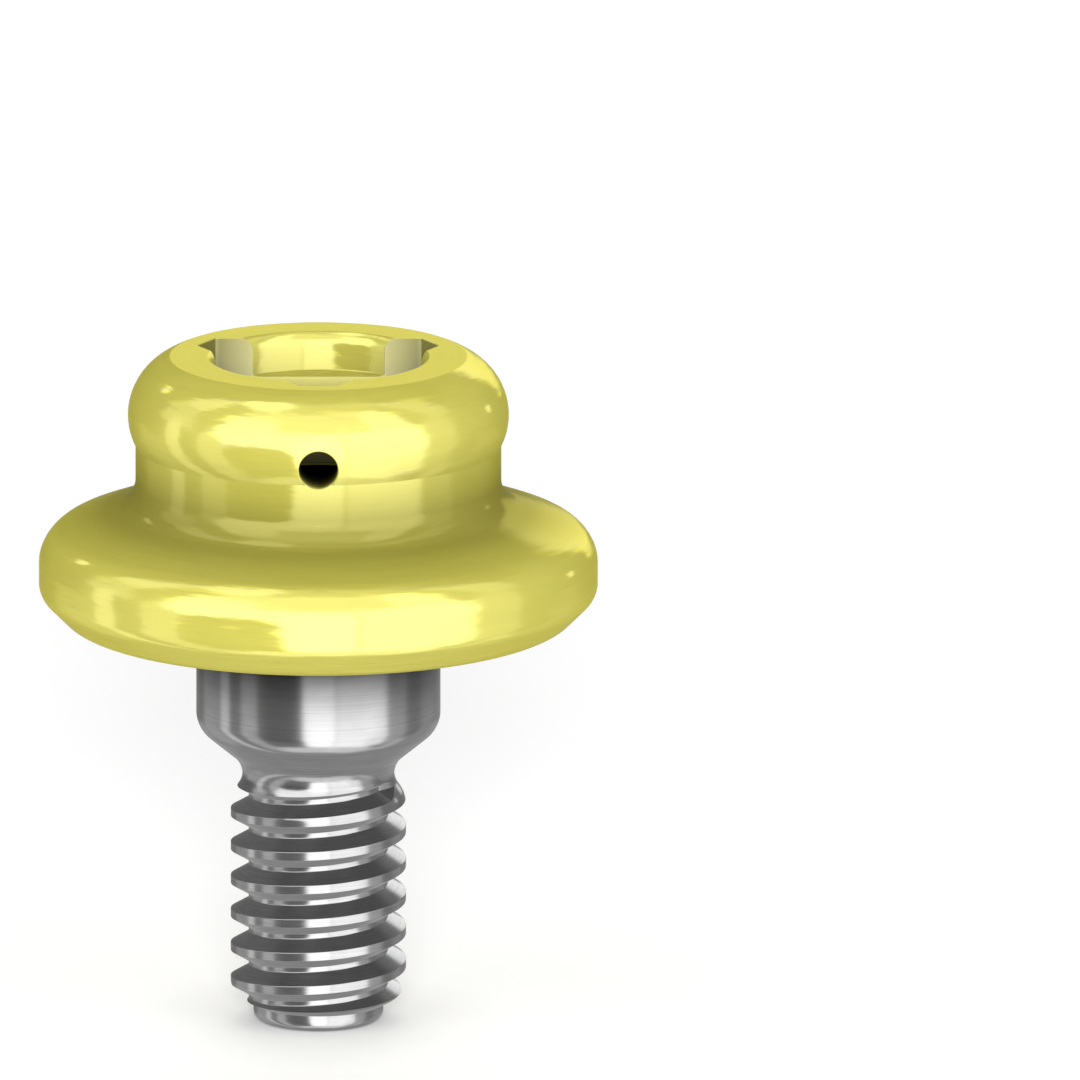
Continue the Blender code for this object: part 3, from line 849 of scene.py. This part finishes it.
# at turn, at rise, half turn and half rise in degrees, softness, level
PANELS = (
    (0.0, 60.0, 181.0, 66.0, 0.10, 0.33),
    (180.0, -62.0, 85.0, 26.0, 0.30, 0.42),
    (180.0, 62.0, 72.0, 34.0, 0.25, 0.13),
    (0.0, 84.0, 105.0, 14.0, 0.30, 0.41),
    (-75.0, 71.0, 27.0, 8.0, 0.40, 1.27),
    (-150.0, 18.0, 30.0, 26.0, 0.50, 0.20),
    (138.0, 14.0, 28.0, 22.0, 0.50, 0.26),
    (166.0, 13.0, 12.8, 13.0, 0.35, 1.40),
    (-102.0, 48.0, 10.0, 12.0, 0.50, 0.86),
    (-100.0, 20.0, 12.0, 10.0, 0.50, 0.64),
    (-80.0, 40.0, 9.0, 14.0, 0.50, 0.29),
    (0.0, 34.0, 63.0, 33.0, 0.12, 0.86),
    (-48.0, 24.0, 18.0, 22.0, 0.30, 1.58),
    (51.0, 32.0, 12.0, 28.0, 0.35, 1.42),
    (3.0, 10.0, 58.0, 18.0, 0.40, 1.80),
    (27.0, -20.0, 40.0, 45.0, 0.16, 1.80),
    (1.0, -18.0, 15.0, 30.0, 0.40, 2.17),
    (66.0, -32.0, 12.0, 14.0, 0.40, 1.50),
    (12.0, -65.0, 58.0, 9.0, 0.50, 1.09),
    (17.5, -20.0, 1.6, 40.0, 0.60, 1.48),
    (-38.0, -27.0, 23.0, 25.0, 0.12, 0.27),
    (-36.0, -18.0, 13.0, 13.0, 0.50, 0.20),
    (-66.0, -30.0, 4.0, 26.0, 0.60, 0.68),
    (-74.0, -25.0, 3.5, 28.0, 0.60, 0.71),
    (-100.0, -28.0, 5.0, 32.0, 0.60, 0.98),
    (-87.0, -35.0, 6.0, 28.0, 0.50, 0.32),
    (82.0, -5.0, 9.0, 30.0, 0.50, 0.58),
    (110.0, -4.0, 14.0, 22.0, 0.50, 0.30),
    (127.0, -29.0, 11.0, 14.0, 0.50, 0.44),
    (-127.0, -29.0, 11.0, 14.0, 0.50, 0.56),
    (93.0, 52.0, 9.0, 18.0, 0.50, 0.60),
    (97.0, -48.0, 7.0, 10.0, 0.50, 0.75),
    (-137.0, 27.0, 2.5, 2.5, 0.60, 1.42),
    (129.0, 7.0, 2.5, 2.5, 0.60, 1.27),
)
light = None
for i, (*places, soft, strength) in enumerate(PANELS):
    lamp = add_node(tree, "ShaderNodeGroup", (-500, -200 * i), node_tree=panel)
    if light is None:
        lamp.inputs["Light"].default_value = TENT
    else:
        tree.links.new(light, lamp.inputs["Light"])
    tree.links.new(direction.outputs[0], lamp.inputs["Direction"])
    for name, value in zip(PLACE_SOCKETS, places):
        lamp.inputs[name].default_value = value
    lamp.inputs["Inside"].default_value = (1.0 - soft) ** 4
    lamp.inputs["Outside"].default_value = (1.0 + soft) ** 4
    lamp.inputs["Level"].default_value = strength
    light = lamp.outputs["Light"]
seen = add_node(tree, "ShaderNodeLightPath", (-200, 300))
white = add_node(tree, "ShaderNodeMix", (0, 0), data_type="FLOAT")
tree.links.new(seen.outputs["Is Camera Ray"], white.inputs[0])
tree.links.new(light, white.inputs[2])
white.inputs[3].default_value = 1.0 / BACKGROUND_GREY
background = add_node(tree, "ShaderNodeBackground", (200, 0))
background.inputs["Color"].default_value = (BACKGROUND_GREY,) * 3 + (1.0,)
tree.links.new(white.outputs[0], background.inputs["Strength"])
world_end = add_node(tree, "ShaderNodeOutputWorld", (400, 0))
tree.links.new(background.outputs[0], world_end.inputs["Surface"])


# Fill lamps
# Two broad, weak lamps, one over the camera and one behind, which only lighten matt surfaces.
# The panels above are what the polished metal mirrors.
# name, level, and rise, turn and width in degrees
FILL_LAMPS = (("front_fill", 0.95, 15.0, 0.0, 15.0), ("back_fill", 0.30, 38.0, 180.0, 45.0))
for name, strength, rise_up, turn_round, width in FILL_LAMPS:
    fill_light = bpy.data.lights.new(name, "SUN")
    fill_light.energy = strength * math.pi
    fill_light.angle = math.radians(width)
    fill = bpy.data.objects.new(name, fill_light)
    bpy.context.scene.collection.objects.link(fill)
    fill.rotation_euler = (math.radians(90.0 - rise_up), 0.0, math.radians(turn_round))
    fill.visible_glossy = False


# Camera
# It looks level with the flange, a little from above, with no perspective. The part stands
# left of the middle of the picture, as in the photograph.
PICTURE = 1080.0
PIXELS_PER_MM = 97.6
AXIS_PIXEL = 318.4
RIM_PIXEL = 356.2
LOOK_DOWN = math.radians(13.2)
CAMERA_DISTANCE = 60.0 * MM

lens = bpy.data.cameras.new("camera")
lens.type = "ORTHO"
lens.ortho_scale = PICTURE / PIXELS_PER_MM * MM
lens.clip_start = 1.0 * MM
lens.clip_end = 1000.0 * MM
camera = bpy.data.objects.new("camera", lens)
bpy.context.scene.collection.objects.link(camera)
back = Vector((0.0, -math.cos(LOOK_DOWN), math.sin(LOOK_DOWN)))
up = Vector((0.0, math.sin(LOOK_DOWN), math.cos(LOOK_DOWN)))
right = Vector((1.0, 0.0, 0.0))
middle = (
    Vector((0.0, 0.0, RIM_HEIGHT))
    + right * (PICTURE / 2 - AXIS_PIXEL) / PIXELS_PER_MM * MM
    + up * (RIM_PIXEL - PICTURE / 2) / PIXELS_PER_MM * MM
)
camera.location = middle + back * CAMERA_DISTANCE
camera.rotation_euler = (math.pi / 2 - LOOK_DOWN, 0.0, 0.0)
bpy.context.scene.camera = camera
bpy.context.scene.view_settings.view_transform = "Standard"
